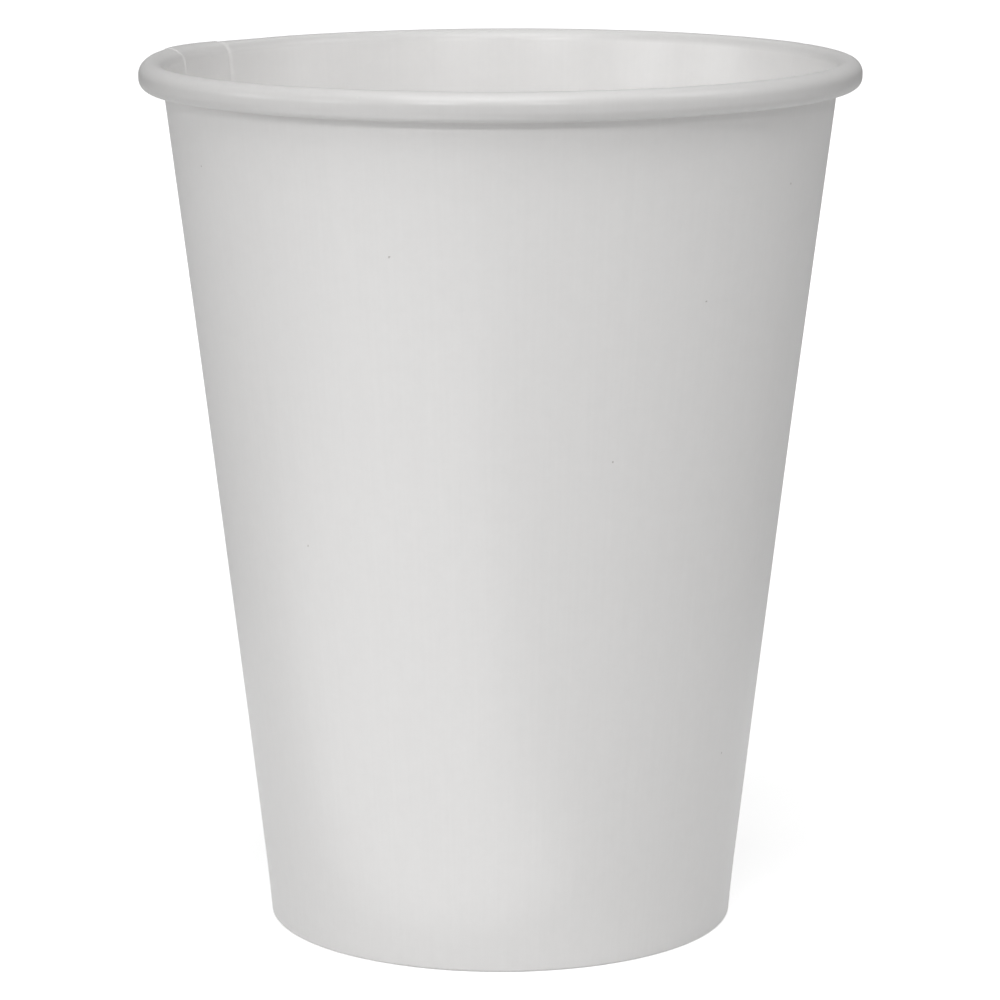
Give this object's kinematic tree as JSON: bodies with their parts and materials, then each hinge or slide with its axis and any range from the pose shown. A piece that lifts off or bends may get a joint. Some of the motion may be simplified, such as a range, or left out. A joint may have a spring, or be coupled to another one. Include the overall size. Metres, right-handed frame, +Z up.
{
  "type": "paper coffee cup",
  "caption": "Plain white single-wall paper cup for hot drinks: tapered wall with a lapped seam, curled rim, and a recessed bottom held by a turned-up hem.",
  "frame": {"origin": "middle of the foot, on the surface that the cup stands on", "axes": "+Z up along the cup's axis, towards the mouth; -Y towards the viewer of the picture; the lapped seam lies at the back left, 148 to 164 degrees from +X towards +Y"},
  "size_m": [0.09, 0.09, 0.1095],
  "materials": {
    "wall_board": "matt uncoated board outside, satin film lining inside",
    "bottom_board": "matt uncoated board below, satin film lining above"
  },
  "bodies": {
    "root": {"sidewall": "wall_board", "bottom": "bottom_board"}
  },
  "joints": []
}
